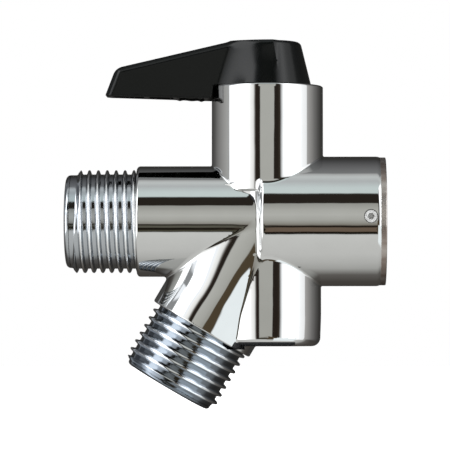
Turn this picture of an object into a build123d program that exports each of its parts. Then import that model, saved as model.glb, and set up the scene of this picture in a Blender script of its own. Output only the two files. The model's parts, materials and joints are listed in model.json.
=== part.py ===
from build123d import *
import math
import os

os.makedirs("parts", exist_ok=True)

# ---------------------------------------------------------------------------
# Shower diverter valve. Millimetres.
# Row frame: the origin is the centre of the inlet mouth, +X points out of the
# inlet, +Z runs up the stem to the lever, -Y faces the viewer.
# Everything is drawn about the crossing point of the inlet axis and the stem
# axis, then shifted so that the inlet mouth lies at x = 0.
# ---------------------------------------------------------------------------

# driving dimensions -------------------------------------------------------
INLET_REACH = 24.0          # crossing point to inlet mouth
G12_MAJOR_R = 20.955 / 2    # G 1/2 male thread, over the crests
G12_MINOR_R = 18.631 / 2    # G 1/2 female thread, over the crests

BARREL_R = 11.32            # upper barrel
BARREL_TOP = 27.5
FOOT_R = 10.9               # lower barrel
FOOT_BOTTOM = -25.35
FOOT_FILLET = 1.5

SLEEVE_R = 13.17            # inlet sleeve
SLEEVE_BACK = -1.1
SOCKET_DEPTH = 13.0
UNDERCUT = 2.8              # thread relief round the washer seat
UNDERCUT_R = 10.6
PORT_IN_R = 5.5

ARM_R = 11.25               # straight outlet arm
ARM_SHOULDER = 26.5
ARM_THREAD_END = 39.3
ARM_END = 40.9
NOSE_R = 9.46
NOSE_RIM_R = 8.55

BRANCH_ANGLE = 30.5         # from straight down, towards the straight outlet
BRANCH_OFFSET = -0.55
BRANCH_R = 11.25
BRANCH_SHOULDER = 25.4
BRANCH_THREAD_END = 37.2
BRANCH_END = 38.9

OUTLET_BORE_R = 6.75
ARM_BORE_START = 12.5
BRANCH_BORE_START = 24.0
PORT_STRAIGHT_R = 4.5
PORT_BRANCH_R = 3.0

CHAMBER_R = 8.25
CHAMBER_FLOOR = -21.2
CHAMBER_STEP = 21.0
GLAND_THREAD_R = 9.5

SPOOL_R = 8.1
SPOOL_FOOT = -20.7
HEAD_BOTTOM = 7.6
HEAD_TOP = 20.5
NECK_R = 5.0
SQUARE = 7.0
SQUARE_TOP = 31.9
PILOT_R = 2.5

HUB_BOTTOM = 27.65
HUB_R_BOTTOM = 8.94
HUB_R_TOP = 6.74
HUB_TOP = 36.55
LEVER_CLEAR_R = 11.66       # inner end of the handle, round the barrel
LEVER_TIP_X = -32.85

TRAVEL = 90.0


# helpers -------------------------------------------------------------------
def turned(points, plane):
    """Solid of revolution. points are (distance along the axis, radius)."""
    with BuildPart() as p:
        with BuildSketch(Plane.XZ):
            with BuildLine():
                Polyline([(r, z) for z, r in points], close=True)
            make_face()
        revolve(axis=Axis.Z)
    return plane * p.part


def rounded(profile, plane):
    """Solid of revolution from a profile with rounded corners.

    profile is a list of (distance along the axis, radius, corner radius)."""
    pts = [(r, z) for z, r, f in profile]
    rad = [f for z, r, f in profile]
    n = len(pts)
    edges = []
    ends = []
    for i in range(n):
        p0 = Vector(*pts[i - 1])
        p1 = Vector(*pts[i])
        p2 = Vector(*pts[(i + 1) % n])
        f = rad[i]
        if f <= 0:
            ends.append((p1, p1, None))
            continue
        d0 = (p0 - p1).normalized()
        d2 = (p2 - p1).normalized()
        half = math.radians(d0.get_angle(d2)) / 2
        t = f / math.tan(half)
        a = p1 + d0 * t
        b = p1 + d2 * t
        c = p1 + (d0 + d2).normalized() * (f / math.sin(half))
        m = c + (p1 - c).normalized() * f
        ends.append((a, b, m))
    for i in range(n):
        a, b, m = ends[i]
        if m is not None:
            edges.append(ThreePointArc(a, m, b))
        nxt = ends[(i + 1) % n]
        if (nxt[0] - b).length > 1e-6:
            edges.append(Line(b, nxt[0]))
    face = make_face([Plane.XZ * e for e in edges])
    return plane * revolve(face, axis=Axis.Z)


def along(origin, direction, x_dir=None):
    if x_dir is None:
        x_dir = (0, 1, 0)
    return Plane(origin=origin, x_dir=x_dir, z_dir=direction)


def rod(plane, r, a, b):
    """Cylinder of radius r from a to b along the plane's normal."""
    return plane.offset(a) * extrude(Circle(r), b - a)


def ring_torus(major, minor, z):
    return Pos(0, 0, z) * Torus(major, minor)


def spring(plane, mean_r, wire_r, free, turns):
    """Compression spring from the plane outwards along its normal."""
    pitch = (free - 2 * wire_r) / turns
    path = Helix(pitch, free - 2 * wire_r, mean_r)
    start = path @ 0
    section = Plane(origin=start, z_dir=path % 0) * Circle(wire_r)
    coil = sweep(section, path=path, is_frenet=True)
    return plane.offset(wire_r) * coil


UP = Plane.XY
LEFT = along((0, 0, 0), (-1, 0, 0))
RIGHT = along((0, 0, 0), (1, 0, 0))
A = math.radians(BRANCH_ANGLE)
BRANCH_DIR = (-math.sin(A), 0, -math.cos(A))
BRANCH = along((BRANCH_OFFSET, 0, 0), BRANCH_DIR)

nodes = {}

# valve body: one casting ---------------------------------------------------
barrel = rounded([(FOOT_BOTTOM + 25, 0, 0), (FOOT_BOTTOM + 25, BARREL_R, 0),
                  (BARREL_TOP, BARREL_R, 0.6), (BARREL_TOP, 0, 0)], UP)
foot = rounded([(FOOT_BOTTOM, 0, 0), (FOOT_BOTTOM, FOOT_R, FOOT_FILLET),
                (0.4, FOOT_R, 0), (0.4, 0, 0)], UP)
sleeve = rounded([(SLEEVE_BACK, 0, 0), (SLEEVE_BACK, SLEEVE_R, 0.7),
                  (INLET_REACH, SLEEVE_R, 0.9), (INLET_REACH, 0, 0)], RIGHT)
arm = rounded([(0, 0, 0), (0, ARM_R, 0), (ARM_SHOULDER, ARM_R, 0.9),
               (ARM_SHOULDER, G12_MAJOR_R, 0),
               (ARM_THREAD_END - 0.9, G12_MAJOR_R, 0),
               (ARM_THREAD_END, NOSE_R, 0),
               (ARM_END - 0.9, NOSE_R, 0),
               (ARM_END, NOSE_RIM_R, 0), (ARM_END, 0, 0)], LEFT)
branch = rounded([(0, 0, 0), (0, BRANCH_R, 0), (BRANCH_SHOULDER, BRANCH_R, 0.9),
                  (BRANCH_SHOULDER, G12_MAJOR_R, 0),
                  (BRANCH_THREAD_END - 0.9, G12_MAJOR_R, 0),
                  (BRANCH_THREAD_END, NOSE_R, 0),
                  (BRANCH_END - 0.5, NOSE_R, 0),
                  (BRANCH_END, 8.98, 0), (BRANCH_END, 0, 0)], BRANCH)
casting = barrel + foot + arm + branch + sleeve

# chamber, ports and sockets
chamber = turned([(CHAMBER_FLOOR, 0), (CHAMBER_FLOOR, CHAMBER_R),
                  (CHAMBER_STEP, CHAMBER_R), (CHAMBER_STEP, GLAND_THREAD_R),
                  (BARREL_TOP - 0.4, GLAND_THREAD_R),
                  (BARREL_TOP, GLAND_THREAD_R + 0.4),
                  (BARREL_TOP + 1, GLAND_THREAD_R + 0.4), (BARREL_TOP + 1, 0)], UP)
pilot_hole = rod(UP, PILOT_R + 0.15, CHAMBER_FLOOR - 2.1, CHAMBER_FLOOR + 0.5)
socket_start = INLET_REACH - SOCKET_DEPTH
inlet_socket = turned([(0, 0), (0, PORT_IN_R), (socket_start, PORT_IN_R),
                       (socket_start, UNDERCUT_R),
                       (socket_start + UNDERCUT - 0.4, UNDERCUT_R),
                       (socket_start + UNDERCUT, G12_MINOR_R),
                       (INLET_REACH + 1, G12_MINOR_R), (INLET_REACH + 1, 0)], RIGHT)
arm_bore = turned([(0, 0), (0, PORT_STRAIGHT_R), (ARM_BORE_START, PORT_STRAIGHT_R),
                   (ARM_BORE_START + 1.2, OUTLET_BORE_R),
                   (ARM_END - 0.5, OUTLET_BORE_R), (ARM_END, OUTLET_BORE_R + 0.5),
                   (ARM_END + 1, OUTLET_BORE_R + 0.5), (ARM_END + 1, 0)], LEFT)
branch_bore = turned([(8, 0), (8, PORT_BRANCH_R), (BRANCH_BORE_START, PORT_BRANCH_R),
                      (BRANCH_BORE_START + 1.2, OUTLET_BORE_R),
                      (BRANCH_END - 0.5, OUTLET_BORE_R), (BRANCH_END, OUTLET_BORE_R + 0.5),
                      (BRANCH_END + 1, OUTLET_BORE_R + 0.5), (BRANCH_END + 1, 0)], BRANCH)

# grub screw through the sleeve wall, on the viewer's side
SCREW_X, SCREW_Z, SCREW_R = 20.77, 0.61, 1.30
screw_tilt = math.asin(SCREW_Z / SLEEVE_R)
SCREW = along((SCREW_X, 0, 0), (0, -math.cos(screw_tilt), math.sin(screw_tilt)), (1, 0, 0))
screw_hole = rod(SCREW, SCREW_R, 8.0, SLEEVE_R + 1)

nodes["valve_body"] = casting - chamber - pilot_hole - inlet_socket - arm_bore - branch_bore - screw_hole

# grub screw with a hexagon socket, a little below the surface
grub = rod(SCREW, SCREW_R - 0.04, 9.6, SLEEVE_R - 0.22)
grub = grub - SCREW.offset(SLEEVE_R - 1.5) * extrude(RegularPolygon(0.72, 6), 2)
nodes["inlet_set_screw"] = grub

# spool: spindle, two shoes, pilot, square ----------------------------------
spool = turned([(SPOOL_FOOT - 1.9, 0), (SPOOL_FOOT - 1.9, PILOT_R - 0.3),
                (SPOOL_FOOT - 1.6, PILOT_R), (SPOOL_FOOT, PILOT_R),
                (SPOOL_FOOT, 5.4), (SPOOL_FOOT + 1.1, 5.4), (SPOOL_FOOT + 1.1, 3.1),
                (HEAD_BOTTOM, 3.1), (HEAD_BOTTOM, SPOOL_R),
                (9.5, SPOOL_R), (9.5, 6.3), (11.7, 6.3), (11.7, SPOOL_R),
                (16.0, SPOOL_R), (16.0, 6.3), (18.2, 6.3), (18.2, SPOOL_R),
                (HEAD_TOP, SPOOL_R), (HEAD_TOP, NECK_R),
                (27.1, NECK_R), (27.5, 4.7), (SQUARE_TOP, 4.7), (SQUARE_TOP, 0)], UP)
square_blank = Pos(0, 0, 29.9) * (Box(40, 40, 4.8) - Box(SQUARE, SQUARE, 6))
spool = spool - square_blank

inside = rod(UP, 7.95, SPOOL_FOOT, HEAD_BOTTOM + 0.5)
BACK = along((0, 0, 0), (0, 1, 0), (1, 0, 0))
STRAIGHT_PAD_R = 5.45
shoe_a = (rod(BACK, 6.4, 0, 9) & inside)
SHOE_B_Z = -13.1
SHOE_B = along((0, 0, SHOE_B_Z), (-1, 0, 0), (0, 1, 0))
shoe_b = (SHOE_B * extrude(SlotOverall(15.2, 10.2, rotation=90), 9)) & rod(UP, 7.95, SPOOL_FOOT, -5.4)
spool = spool + shoe_a + shoe_b

PAD_SEAT = 5.2
spool = spool - rod(BACK, STRAIGHT_PAD_R + 0.1, PAD_SEAT, 9)
spool = spool - rod(BACK, 2.25, 1.6, 9)
spool = spool - SHOE_B.offset(PAD_SEAT) * extrude(SlotOverall(13.5, 8.8, rotation=90), 4)
spring_levels = (-9.9, -16.3)
for z in spring_levels:
    spool = spool - rod(along((0, 0, z), (-1, 0, 0), (0, 1, 0)), 2.25, 1.6, 9)
# tapped hole for the lever screw
spool = spool - rod(UP, 2.02, SQUARE_TOP - 8.5, SQUARE_TOP + 1)
nodes["diverter_spool"] = spool

# seal pads: flat backs, faces turned to the chamber
pad_outer = rod(UP, SPOOL_R, -30, 30)
pad_a = rod(BACK, STRAIGHT_PAD_R, 5.75, 9) & pad_outer
nodes["straight_port_seal"] = pad_a
pad_b = (SHOE_B.offset(5.75) * extrude(SlotOverall(13.3, 8.6, rotation=90), 4)) & pad_outer
nodes["branch_port_seal"] = pad_b

# springs behind the pads
SPRING_FREE = 5.75 - 1.6 - 0.04
nodes["straight_seal_spring"] = spring(BACK.offset(1.62), 1.7, 0.25, SPRING_FREE, 4)
nodes["branch_seal_spring_upper"] = spring(
    along((-1.62, 0, spring_levels[0]), (-1, 0, 0), (0, 1, 0)), 1.7, 0.25, SPRING_FREE, 4)
nodes["branch_seal_spring_lower"] = spring(
    along((-1.62, 0, spring_levels[1]), (-1, 0, 0), (0, 1, 0)), 1.7, 0.25, SPRING_FREE, 4)

# O-rings on the spool head
nodes["spindle_o_ring_lower"] = ring_torus(7.22, 0.9, 10.6)
nodes["spindle_o_ring_upper"] = ring_torus(7.22, 0.9, 17.1)

# gland nut, its O-ring, and the washers
gland = turned([(21.3, NECK_R + 0.15), (21.3, 8.15), (22.4, 8.15), (22.4, 9.0), (22.8, GLAND_THREAD_R - 0.08),
                (26.8, GLAND_THREAD_R - 0.08), (27.2, 9.0), (27.2, NECK_R + 0.55), (26.8, NECK_R + 0.15)], UP)
PIN_RADIUS, PIN_R = 6.75, 0.8
pin_angle = 45.0
pin_x = PIN_RADIUS * math.cos(math.radians(pin_angle))
pin_y = PIN_RADIUS * math.sin(math.radians(pin_angle))
gland = gland - Pos(pin_x, pin_y, 0) * rod(UP, PIN_R + 0.01, 23.7, 30)
for s in (1, -1):
    gland = gland - Pos(s * 7.0, 0, 0) * rod(UP, 0.9, 24.7, 30) if s < 0 else gland
    gland = gland - Pos(0, s * 7.0, 0) * rod(UP, 0.9, 24.7, 30) if s < 0 else gland
nodes["gland_nut"] = gland
nodes["gland_o_ring"] = ring_torus(8.83, 0.6, 21.68)
nodes["upper_thrust_washer"] = turned([(20.55, 5.15), (20.55, 8.1), (21.25, 8.1), (21.25, 5.15)], UP)
nodes["lower_thrust_washer"] = turned([(CHAMBER_FLOOR, 2.75), (CHAMBER_FLOOR, 5.4), (SPOOL_FOOT - 0.05, 5.4), (SPOOL_FOOT - 0.05, 2.75)], UP)
nodes["stop_pin"] = Pos(pin_x, pin_y, 0) * rod(UP, PIN_R, 23.72, 29.3)

# lever ----------------------------------------------------------------------
hub = rounded([(HUB_BOTTOM, 0, 0), (HUB_BOTTOM, HUB_R_BOTTOM, 0),
               (HUB_TOP, HUB_R_TOP, 0.7), (HUB_TOP, 0, 0)], UP)

side = [(0, 36.45), (-7.92, 36.45), (-29.89, 31.51), (-30.62, 31.18), (-31.03, 30.62),
        (LEVER_TIP_X, 25.95), (-32.75, 25.55), (-32.3, 25.47), (-9.0, 24.78), (0, 24.5)]
side_face = make_face(Plane.XZ * Polyline(side, close=True))
blade = extrude(side_face, 12, both=True)
plan = [(0, 4.9), (-11.0, 4.75), (-31.4, 3.35), (-33.4, 2.9),
        (-33.4, -2.9), (-31.4, -3.35), (-11.0, -4.75), (0, -4.9)]
plan_face = make_face(Polyline(plan, close=True))
blade = blade & (Pos(0, 0, 20) * extrude(plan_face, 20))
top_edges = [e for e in blade.edges()
             if e.center().Z > 26.2 and abs(e.center().Y) > 2.5 and e.center().X < -0.5
             and e.length > 3 and abs((e @ 1).X - (e @ 0).X) > 0.8 and e.center().Z > 28]
blade = chamfer(top_edges, 0.9)
lever = hub + blade
# room for the barrel below the rim level and for the rim itself
lever = lever - rod(UP, LEVER_CLEAR_R, 10, HUB_BOTTOM)
# hollow underside of the handle, with two cross ribs
cav_side = [(-12.9, 20), (-12.9, 31.2), (-16.0, 32.9), (-28.6, 30.1), (-29.3, 29.4), (-31.0, 25.0), (-31.0, 20)]
cavity = extrude(make_face(Plane.XZ * Polyline(cav_side, close=True)), 12, both=True)
cav_plan = [(-11.0, 3.25), (-31.4, 1.95), (-31.4, -1.95), (-11.0, -3.25)]
cavity = cavity & (Pos(0, 0, 15) * extrude(make_face(Polyline(cav_plan, close=True)), 25))
for x in (-18.6, -24.6):
    cavity = cavity - Pos(x, 0, 28) * Box(1.2, 12, 20)
lever = lever - cavity
# hub hollow: ring between the drive boss and the skirt, arc ribs for the stop
hollow = turned([(HUB_BOTTOM - 1, 5.6), (HUB_BOTTOM - 1, 7.95), (HUB_BOTTOM + 2.6, 7.55),
                 (HUB_BOTTOM + 2.6, 5.6)], UP)
# the stop faces: the lever turns +90 degrees, so the pin sweeps -90 in the lever
half_pin = math.degrees(math.asin((PIN_R + 0.12) / PIN_RADIUS))
for ang in (pin_angle + half_pin, pin_angle - TRAVEL - half_pin):
    sign = 1 if ang > 0 else -1
    web = Pos(6.9, sign * 0.6, HUB_BOTTOM + 1) * Box(3.4, 1.2, 8)
    hollow = hollow - Rot(0, 0, ang) * web
lever = lever - hollow
lever = lever - Pos(0, 0, HUB_BOTTOM) * Box(SQUARE + 0.12, SQUARE + 0.12, 2 * (SQUARE_TOP + 0.1 - HUB_BOTTOM))
lever = lever - rod(UP, 2.2, 30, 40)
RECESS_R = 4.55
lever = lever - rod(UP, RECESS_R, 33.2, 40)
nodes["lever"] = lever

# lever screw, lock washer and cap
screw = rod(UP, 1.98, 25.6, 34.0) + rounded([(34.0, 0, 0), (34.0, 3.5, 0), (35.5, 3.5, 0.5), (35.5, 0, 0)], UP)
cross = Pos(0, 0, 35.3) * (Box(3.4, 0.8, 1.8) + Box(0.8, 3.4, 1.8))
nodes["lever_screw"] = screw - cross
washer = rod(UP, 3.3, 33.2, 34.0) - rod(UP, 2.1, 33, 35)
washer = washer - Pos(2.7, 0, 33.6) * Box(3, 0.5, 2)
nodes["lever_lock_washer"] = washer
cap = rounded([(35.62, 0, 0), (35.62, RECESS_R - 0.08, 0), (36.5, RECESS_R - 0.08, 0.3), (36.5, 0, 0)], UP)
nodes["lever_cap"] = cap

# inlet washer and strainer
seat = socket_start
filter_disc = rod(RIGHT, 8.7, seat + 0.02, seat + 0.72)
holes = []
pitch = 1.9
for i in range(-4, 5):
    for j in range(-4, 5):
        hx = (i + 0.5 * (j % 2)) * pitch
        hy = j * pitch * math.sqrt(3) / 2
        if math.hypot(hx, hy) < PORT_IN_R + 0.4:
            holes.append((hx, hy))
with BuildPart() as hole_tool:
    with BuildSketch(Plane.XY):
        with Locations(*holes):
            Circle(0.62)
    extrude(amount=3)
filter_disc = filter_disc - RIGHT.offset(seat - 1) * hole_tool.part
nodes["inlet_filter"] = filter_disc
nodes["inlet_washer"] = (rod(RIGHT, 9.2, seat + 0.74, seat + 2.6) - rod(RIGHT, 6.4, seat, seat + 4))

# write ----------------------------------------------------------------------
for name, shape in nodes.items():
    placed = Pos(-INLET_REACH, 0, 0) * shape
    export_step(placed, "parts/" + name + ".step")
    print(name, round(placed.volume, 2))
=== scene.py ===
import json
import math
import bpy
import numpy as np
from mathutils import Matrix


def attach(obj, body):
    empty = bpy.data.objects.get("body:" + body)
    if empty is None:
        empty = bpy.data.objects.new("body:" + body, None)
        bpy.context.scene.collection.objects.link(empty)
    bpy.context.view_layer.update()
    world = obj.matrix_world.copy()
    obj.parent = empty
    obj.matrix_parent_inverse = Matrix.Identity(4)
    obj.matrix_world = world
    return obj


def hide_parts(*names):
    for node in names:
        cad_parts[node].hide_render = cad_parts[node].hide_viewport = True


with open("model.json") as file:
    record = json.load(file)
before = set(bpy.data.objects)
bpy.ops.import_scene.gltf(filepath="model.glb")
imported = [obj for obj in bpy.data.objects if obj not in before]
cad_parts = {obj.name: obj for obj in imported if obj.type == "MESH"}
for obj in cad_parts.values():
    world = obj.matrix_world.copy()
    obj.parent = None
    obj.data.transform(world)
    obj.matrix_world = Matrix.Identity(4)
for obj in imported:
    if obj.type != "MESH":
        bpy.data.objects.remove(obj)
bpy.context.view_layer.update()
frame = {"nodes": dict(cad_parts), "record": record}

# ---------------------------------------------------------------------------
# Shower diverter valve, visual model. The helper geometry below is in
# millimetres about the crossing point of the inlet axis and the stem axis.
# place() brings it into the row frame, in metres.
# ---------------------------------------------------------------------------
REACH = 24.0
A = math.radians(30.5)
BD = np.array([-math.sin(A), 0.0, -math.cos(A)])      # branch axis, outwards
BM = np.array([math.cos(A), 0.0, -math.sin(A)])       # across it, right and down
BO = np.array([-0.55, 0.0, 0.0])
HOLE = (20.77, 0.61, 1.40)                            # set screw: x, z, radius
MAJOR = 10.4775
MINOR = 9.3155
PITCH = 1.814


def place(v):
    v = np.array(v, float)
    v[:, 0] -= REACH
    return v / 1000.0


# implicit shapes ------------------------------------------------------------
def ellipse(p, q, a, b):
    w = np.sqrt((p / a) ** 2 + (q / b) ** 2) + 1e-9
    g = np.sqrt((p / a ** 2) ** 2 + (q / b ** 2) ** 2) + 1e-9
    return (w - 1.0) * w / g


def join(a, b, r):
    u = np.maximum(r - a, 0.0)
    v = np.maximum(r - b, 0.0)
    return np.maximum(r, np.minimum(a, b)) - np.sqrt(u * u + v * v)


def meet(a, b, r):
    u = np.maximum(r + a, 0.0)
    v = np.maximum(r + b, 0.0)
    return np.minimum(-r, np.maximum(a, b)) + np.sqrt(u * u + v * v)


def smooth(x, a, b):
    t = np.clip((x - a) / (b - a), 0.0, 1.0)
    return t * t * (3 - 2 * t)


def casting(p):
    x, y, z = p[:, 0], p[:, 1], p[:, 2]
    # vertical barrel: a full upper part, and a slimmer foot
    t = smooth(z, -7.0, 7.0)
    ra = 10.9 + 0.42 * t - 0.16 * smooth(-z, 18.5, 24.5)
    rb = 10.66 + 0.16 * t
    upper = ellipse(x, y, ra, rb)
    upper = meet(upper, z - 27.5, 0.4)
    upper = meet(upper, 5.95 - z, 0.35)
    foot = ellipse(x, y, ra, rb)
    foot = meet(foot, -25.35 - z, 1.75)
    foot = meet(foot, z + 6.9, 0.3)
    # between them the front is set back, and turned to the left beside the sleeve
    waist = (np.abs(y) - 9.585 - 0.25 * (x + 3.35)) * 0.97
    waist = np.maximum(waist, np.abs(z) - 7.3)
    waist = np.maximum(waist, np.maximum(x - 1.0, -9.0 - x))
    # straight outlet arm
    arm = ellipse(z, y, 11.25, 10.7)
    arm = meet(arm, -26.5 - x, 0.7)
    arm = np.maximum(arm, x - 6.0)
    arm = np.minimum(arm, np.maximum(np.hypot(y, z) - (MINOR - 0.05), np.maximum(-30.0 - x, x)))
    # slanted branch
    bx = x - BO[0]
    u = bx * BD[0] + z * BD[2]
    s = bx * BM[0] + z * BM[2]
    # its front is flatter near the crossing, and turns aside at the shoulder
    w = smooth(np.abs(y), 2.0, 9.5)
    flat = np.where(s < 0, 2.3 * (1 - smooth(u, 8.5, 20.0)) * smooth(u, 1.0, 7.0),
                    2.0 * smooth(u, 2.0, 8.0) * (1 - smooth(u, 8.0, 13.0)) + 2.2 * smooth(u, 18.0, 24.0))
    lean = -0.35 * smooth(u, 16.5, 24.0)
    branch = ellipse(s - lean * w, y, 11.25 + flat * w, 10.7)
    branch = meet(branch, u - 25.4, 0.35)
    branch = np.maximum(branch, -4.0 - u)
    branch = np.minimum(branch, np.maximum(np.hypot(s, y) - (MINOR - 0.05), np.maximum(u - 29.0, -u)))
    # inlet sleeve
    rs = np.hypot(y, z)
    sleeve = meet(rs - 13.17, (rs - 13.17) * 0.94 + (x - 22.34) * 0.342, 0.1)
    sleeve = np.maximum(sleeve, x - 23.1)
    sleeve = np.minimum(sleeve, meet(rs - 13.0, x - 24.0, 0.2))
    sleeve = meet(sleeve, -1.3 - x, 0.75)
    web = (1.7 * smooth(z, -5.5, 1.0) + 0.4) * smooth(-x, 0.6, 1.35) + 0.05
    blend = 0.16 + 0.7 * smooth(np.hypot(x, z), 7.0, 20.0)
    f = join(arm, branch, blend)
    f = np.minimum(join(f, sleeve, 0.3 + 0.75 * smooth(-x, -0.6, 1.2)), join(waist, sleeve, web))
    f = join(f, upper, 0.3)
    f = join(f, foot, 0.3)
    return f


def gradient(fn, p, e=0.004):
    g = np.empty_like(p)
    for i in range(3):
        d = np.zeros(3)
        d[i] = e
        g[:, i] = fn(p + d) - fn(p - d)
    g /= 2 * e
    return g


def unit(v):
    return v / (np.linalg.norm(v, axis=1, keepdims=True) + 1e-12)


def settle(fn, p, steps=4, cap=0.3):
    """Moves points onto the surface fn = 0 along its gradient."""
    p = p.copy()
    for _ in range(steps):
        f = fn(p)
        g = gradient(fn, p)
        n2 = (g * g).sum(1) + 1e-9
        step = -(f / n2)[:, None] * g
        l = np.linalg.norm(step, axis=1, keepdims=True)
        step *= np.minimum(1.0, cap / (l + 1e-9))
        p += step
    return p


def nets(fn, lo, hi, h):
    """Surface nets over a box: returns vertices and quads."""
    n = [int(math.ceil((hi[i] - lo[i]) / h)) + 1 for i in range(3)]
    ax = [lo[i] + h * np.arange(n[i]) for i in range(3)]
    F = np.empty(n)
    Y, Z = np.meshgrid(ax[1], ax[2], indexing="ij")
    for i in range(n[0]):
        p = np.stack([np.full(Y.size, ax[0][i]), Y.ravel(), Z.ravel()], 1)
        F[i] = fn(p).reshape(Y.shape)
    S = F < 0
    cnt = np.zeros([m - 1 for m in n], int)
    for dx in (0, 1):
        for dy in (0, 1):
            for dz in (0, 1):
                cnt += S[dx:n[0] - 1 + dx, dy:n[1] - 1 + dy, dz:n[2] - 1 + dz]
    cells = np.argwhere((cnt > 0) & (cnt < 8))
    index = -np.ones(cnt.shape, int)
    index[tuple(cells.T)] = np.arange(len(cells))
    acc = np.zeros((len(cells), 3))
    num = np.zeros(len(cells))
    for axis in range(3):
        o1, o2 = [a for a in range(3) if a != axis]
        for a in (0, 1):
            for b in (0, 1):
                c0 = np.zeros(3, int)
                c0[o1] = a
                c0[o2] = b
                c1 = c0.copy()
                c1[axis] = 1
                f0 = F[tuple((cells + c0).T)]
                f1 = F[tuple((cells + c1).T)]
                m = (f0 < 0) != (f1 < 0)
                t = np.where(m, f0 / np.where(m, f0 - f1, 1.0), 0.0)
                pos = (cells + c0) + t[:, None] * (c1 - c0)
                acc[m] += pos[m]
                num[m] += 1
    verts = acc / num[:, None] * h + np.array(lo)
    quads = []
    for axis in range(3):
        o1, o2 = [a for a in range(3) if a != axis]
        sl0 = [slice(None)] * 3
        sl1 = [slice(None)] * 3
        sl0[axis] = slice(0, n[axis] - 1)
        sl1[axis] = slice(1, n[axis])
        m = S[tuple(sl0)] != S[tuple(sl1)]
        e = np.argwhere(m)
        keep = (e[:, o1] > 0) & (e[:, o2] > 0) & (e[:, o1] < n[o1] - 1) & (e[:, o2] < n[o2] - 1)
        e = e[keep]
        inside0 = S[tuple(e.T)]
        d1 = np.zeros(3, int)
        d1[o1] = 1
        d2 = np.zeros(3, int)
        d2[o2] = 1
        q = np.stack([index[tuple((e - d1 - d2).T)], index[tuple((e - d2).T)],
                      index[tuple(e.T)], index[tuple((e - d1).T)]], 1)
        flip = inside0
        q[~flip] = q[~flip][:, ::-1]
        quads.append(q)
    return verts, np.concatenate(quads)


def to_tris(v, q):
    """Splits quads along the shorter diagonal."""
    d0 = np.linalg.norm(v[q[:, 0]] - v[q[:, 2]], axis=1)
    d1 = np.linalg.norm(v[q[:, 1]] - v[q[:, 3]], axis=1)
    a = d0 <= d1
    t1 = np.where(a[:, None], q[:, [0, 1, 2]], q[:, [0, 1, 3]])
    t2 = np.where(a[:, None], q[:, [0, 2, 3]], q[:, [1, 2, 3]])
    return np.concatenate([t1, t2])


def face_out(fn, v, t):
    """Turns every triangle so that it faces along the gradient of fn."""
    c = (v[t[:, 0]] + v[t[:, 1]] + v[t[:, 2]]) / 3
    n = np.cross(v[t[:, 1]] - v[t[:, 0]], v[t[:, 2]] - v[t[:, 0]])
    bad = (n * gradient(fn, c)).sum(1) < 0
    t = t.copy()
    t[bad] = t[bad][:, ::-1]
    print("turned", int(bad.sum()), "of", len(t))
    return t


def edges_of(t):
    e = np.concatenate([t[:, [0, 1]], t[:, [1, 2]], t[:, [2, 0]]])
    s = np.sort(e, axis=1)
    key = s[:, 0].astype(np.int64) * (t.max() + 1) + s[:, 1]
    uk, inv = np.unique(key, return_inverse=True)
    ue = np.stack([uk // (t.max() + 1), uk % (t.max() + 1)], 1)
    return ue, inv.reshape(3, -1).T


def split(v, t, flag_fn, fn):
    """One pass of refinement: flagged edges are halved, triangles stay conforming."""
    ue, te = edges_of(t)
    flag = flag_fn(v, ue)
    mid = settle(fn, (v[ue[flag, 0]] + v[ue[flag, 1]]) / 2, 3)
    new = -np.ones(len(ue), int)
    new[flag] = len(v) + np.arange(flag.sum())
    v2 = np.concatenate([v, mid])
    m = new[te]
    k = (m >= 0).sum(1)
    out = [t[k == 0]]
    # three splits
    s = k == 3
    a, b, c = t[s].T
    x, y, z = m[s].T
    for q in ((a, x, z), (x, b, y), (z, y, c), (x, y, z)):
        out.append(np.stack(q, 1))
    # one split: rotate so that the split edge is edge 0
    for r in range(3):
        s = (k == 1) & (m[:, r] >= 0)
        a, b, c = t[s][:, [r, (r + 1) % 3, (r + 2) % 3]].T
        x = m[s][:, r]
        out.append(np.stack([a, x, c], 1))
        out.append(np.stack([x, b, c], 1))
    # two splits: rotate so that the unsplit edge is edge 2 (c to a)
    for r in range(3):
        s = (k == 2) & (m[:, (r + 2) % 3] < 0)
        a, b, c = t[s][:, [r, (r + 1) % 3, (r + 2) % 3]].T
        x = m[s][:, r]
        y = m[s][:, (r + 1) % 3]
        out.append(np.stack([x, b, y], 1))
        d0 = np.linalg.norm(v2[a] - v2[y], axis=1)
        d1 = np.linalg.norm(v2[x] - v2[c], axis=1)
        g = d0 <= d1
        out.append(np.stack([a, x, y], 1)[g])
        out.append(np.stack([a, y, c], 1)[g])
        out.append(np.stack([a, x, c], 1)[~g])
        out.append(np.stack([x, y, c], 1)[~g])
    return v2, np.concatenate(out)


def relax(fn, v, t, rounds=3, amount=0.5):
    """Evens the triangles out along the surface."""
    ue, _ = edges_of(t)
    for _ in range(rounds):
        acc = np.zeros_like(v)
        num = np.zeros(len(v))
        for a, b in ((0, 1), (1, 0)):
            np.add.at(acc, ue[:, a], v[ue[:, b]])
            np.add.at(num, ue[:, a], 1)
        mean = acc / np.maximum(num, 1)[:, None]
        n = unit(gradient(fn, v))
        d = (mean - v) * amount
        d -= (d * n).sum(1)[:, None] * n
        v = settle(fn, v + d, 2)
    return v


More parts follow.
